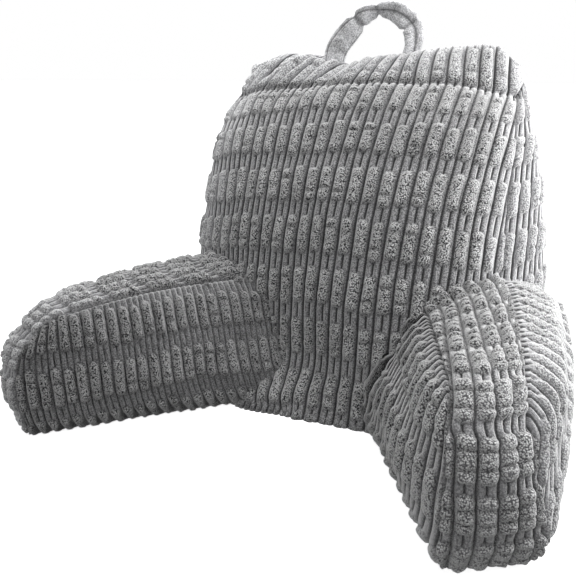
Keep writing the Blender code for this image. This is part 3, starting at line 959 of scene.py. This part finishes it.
# the handle: a strap of the same cloth, folded and sewn into a flat tube
handle = {
    "y": 0.162,
    "thick": 0.011,
    "path": ((-0.070, 0.425), (-0.064, 0.455), (-0.044, 0.480), (-0.024, 0.498), (-0.004, 0.506),
             (0.020, 0.503), (0.040, 0.490), (0.049, 0.472), (0.044, 0.430)),    # x and z
    "mesh": 0.0012,     # spacing along it
    "around": 56,       # and cells around it
    "widths": (0.030, 0.032, 0.031, 0.026, 0.021, 0.028, 0.031, 0.022, 0.027),
    "turns": (0.0, 0.0, 0.1, 0.5, 0.8, 0.3, -0.2, -0.5, -0.4),  # of its face, in radians
    "pinches": (0.36, 0.50, 0.74),  # where it creases, from its left end
    "pinchLong": 0.018,     # share of the length
    "pinchIn": 0.24,        # share of the width that a crease takes
    "pinchThin": 0.30,      # and of the thickness
    "ribs": 3.0,            # around it
    "rib": 0.0036,          # their height
    "seamAt": (0.36, 0.70),     # the fold, in ribs from the loop's outer edge: left leg, right leg
    # painted light: the whole loop is painted much lighter
    "nap": 10.5,
}


def handleCentre():  # points of its centre line, the way along it at each, and its length
    line = smoothLine(handle["path"], 12)
    length = lineLength(line)
    count = samples(length, handle["mesh"])
    centre = np.array([alongLine(line, length * k / (count - 1)) for k in range(count)])
    tangent = np.gradient(centre, axis=0)
    tangent /= np.linalg.norm(tangent, axis=1, keepdims=True)
    return centre, tangent, length


def sewHandle():
    centre, tangent, length = handleCentre()
    share = np.linspace(0.0, 1.0, len(centre))
    knots = np.linspace(0.0, 1.0, len(handle["widths"]))
    pinch = sum(np.exp(-((share - at) / handle["pinchLong"]) ** 2) for at in handle["pinches"])
    wide = (np.interp(share, knots, handle["widths"]) / 2 * (1.0 - handle["pinchIn"] * pinch))[None, :]
    thick = handle["thick"] / 2 * (1.0 - handle["pinchThin"] * pinch)[None, :]
    twist = np.interp(share, knots, handle["turns"])[None, :]
    # a flattened ring at each point, turned by the twist, and the way out of the cloth on it
    turn = np.linspace(0.0, 2.0 * math.pi, handle["around"] + 1)[:, None]
    flat = np.sign(np.cos(turn)) * np.abs(np.cos(turn)) ** 0.75 * wide
    proud = np.sin(turn) * thick
    sideways = flat * np.cos(twist) - proud * np.sin(twist)
    forward = flat * np.sin(twist) + proud * np.cos(twist)
    outX = np.cos(turn) * np.cos(twist) * 0.6 - np.sin(turn) * np.sin(twist)
    outY = np.cos(turn) * np.sin(twist) * 0.6 + np.sin(turn) * np.cos(twist)
    points = np.stack([centre[None, :, 0] - tangent[None, :, 1] * sideways,
                       handle["y"] - forward,
                       centre[None, :, 1] + tangent[None, :, 0] * sideways], axis=2)
    normals = np.stack([-tangent[None, :, 1] * outX, -outY, tangent[None, :, 0] * outX], axis=2)
    normals /= np.linalg.norm(normals, axis=2, keepdims=True)
    # ribs that run along it, the fold between two of them, and the pile
    seam = blend(*handle["seamAt"], smoothStep((share - 0.38) / 0.16))
    u = turn / (2 * math.pi) * handle["ribs"] - seam[None, :]
    v = share[None, :] * length / period + 0.0 * u
    rib = (1.0 - np.abs(2.0 * (u % 1.0) - 1.0) ** 2.4) ** 0.5
    curl = softNoise(u * pitch / 0.0024, v * period / 0.0030, 31)
    relief = handle["rib"] * rib * (1.0 - 0.35 * pinch) + 0.0003 * curl
    fromFold = np.abs((u + 0.5) % 1.0 - 0.5)
    layers = {
        "pile": smoothStep(rib * 2.0) * np.where((u > 0.0) & (u < 1.0), 0.4, 0.25),
        # painted light over the whole loop
        "toneAndPaintedLight": np.full(u.shape, handle["nap"]),
        # painted shade at the pinches and along the fold
        "paintedCavityShade": np.maximum(0.5 * pinch, 0.75 * np.exp(-(fromFold / 0.055) ** 2)),
        "groove": np.zeros(u.shape),
    }
    final = points + normals * (relief - handle["rib"] * 0.75)[..., None]
    final[-1] = final[0]
    streakAcross = 0.60 + 0.30 * turn / (2 * math.pi) + 0.0 * share
    bm = asBmesh(gridMesh("handle", final, layers, (streakAcross, v)))
    bmesh.ops.remove_doubles(bm, verts=bm.verts, dist=1e-5)
    bmesh.ops.holes_fill(bm, edges=boundaryEdges(bm), sides=0)
    return linkPiece("handleLoop", bm, plushCloth)


pieces["handleLoop"] = sewHandle()
print("handle sewn")
bpy.data.objects.remove(backBlock)

# what each piece stands for
nodes = {"back": "back_cushion", "armLeft": "arm_left", "armRight": "arm_right", "handle": "handle"}
for name, piece in pieces.items():
    node = next(node for start, node in nodes.items() if name.startswith(start))
    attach(piece, "root")
    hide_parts(node)
    print(name, sum(len(face.vertices) - 2 for face in piece.data.polygons), "triangles")

# the studio
studio = {
    "floor": "#e6e6e6",
    "floorGlow": 0.85,      # keeps the shadow on it pale
    "floorSize": 30.0,
    "backdrop": 1.0,        # as the camera sees it
    "sky": 0.0,             # light that it throws on the cushion
    "spread": 60.0,         # degrees, of the broad lights from four ways
    "above": 1.2,
    "front": 1.46,
    "rear": 1.2,
    "left": 0.5,
    "top": 4.6,             # softbox close over the crown
    "right": 7.4,           # softbox close to the right side
    "arm": 2.3,             # softbox over the right arm
}
camera = {
    "lens": 46.25,
    "sensor": 36.0,
    "place": (0.380, -0.855, 0.42275),
    "down": 16.2,           # degrees below level
    "turn": 27.2,           # degrees to the left of straight ahead
}


def makeFloor():  # matt white paper: an even pale ground, with no gloss
    bm = bmesh.new()
    bmesh.ops.create_grid(bm, x_segments=1, y_segments=1, size=studio["floorSize"])
    material, shader = newMaterial("matt white paper sweep")
    shader.inputs["Base Color"].default_value = toLinear(studio["floor"])
    shader.inputs["Roughness"].default_value = 0.9
    shader.inputs["Emission Color"].default_value = (1.0, 1.0, 1.0, 1.0)
    shader.inputs["Emission Strength"].default_value = studio["floorGlow"]
    floor = linkPiece("studioFloor", bm, material)
    floor.visible_diffuse = False  # the paper throws no light up at the cushion


def addSoftbox(name, place, target, size, power):
    lamp = bpy.data.lights.new(name, "AREA")
    lamp.shape = "RECTANGLE"
    lamp.size, lamp.size_y = size
    lamp.energy = power
    obj = addObject(name, lamp)
    obj.location = place
    obj.rotation_euler = (Vector(target) - Vector(place)).to_track_quat("-Z", "Y").to_euler()
    obj.visible_camera = False


def addSun(name, direction, strength):
    lamp = bpy.data.lights.new(name, "SUN")
    lamp.energy = strength
    lamp.angle = math.radians(studio["spread"])
    obj = addObject(name, lamp)
    obj.rotation_euler = Vector(direction).to_track_quat("Z", "Y").to_euler()


def makeSky():
    world = bpy.data.worlds.new("white studio")
    scene.world = world
    world.use_nodes = True
    tree = world.node_tree
    light = tree.nodes["Background"]
    light.inputs["Color"].default_value = (1.0, 1.0, 1.0, 1.0)
    light.inputs["Strength"].default_value = studio["sky"]
    backdrop = addNode(tree, "ShaderNodeBackground", {"Color": (1.0, 1.0, 1.0, 1.0),
                                                      "Strength": studio["backdrop"]})
    seen = addNode(tree, "ShaderNodeLightPath", {}).outputs["Is Camera Ray"]
    both = addNode(tree, "ShaderNodeMixShader", {0: seen, 1: light.outputs[0], 2: backdrop.outputs[0]})
    tree.links.new(both.outputs[0], tree.nodes["World Output"].inputs["Surface"])


def addCamera():
    data = bpy.data.cameras.new("camera")
    data.lens = camera["lens"]
    data.sensor_width = camera["sensor"]
    obj = addObject("camera", data)
    obj.location = camera["place"]
    obj.rotation_euler = (math.radians(90.0 - camera["down"]), 0.0, math.radians(camera["turn"]))
    scene.camera = obj


makeFloor()
makeSky()
for side, direction in (("above", (0.0, 0.0, 1.0)), ("front", (0.0, -1.0, 0.15)),
                        ("rear", (-0.35, 1.0, 0.35)), ("left", (-1.0, 0.15, 0.35))):
    addSun(side + "Broad", direction, studio[side])
addSoftbox("topBox", (0.05, 0.25, 0.95), (0.03, 0.12, 0.45), (0.5, 0.5), studio["top"])
addSoftbox("rightBox", (0.75, 0.25, 0.42), (0.22, 0.05, 0.30), (0.5, 0.5), studio["right"])
addSoftbox("armBox", (0.70, -0.25, 0.75), (0.25, -0.10, 0.20), (0.4, 0.4), studio["arm"])
addCamera()
scene.view_settings.view_transform = "Standard"
print("studio ready")
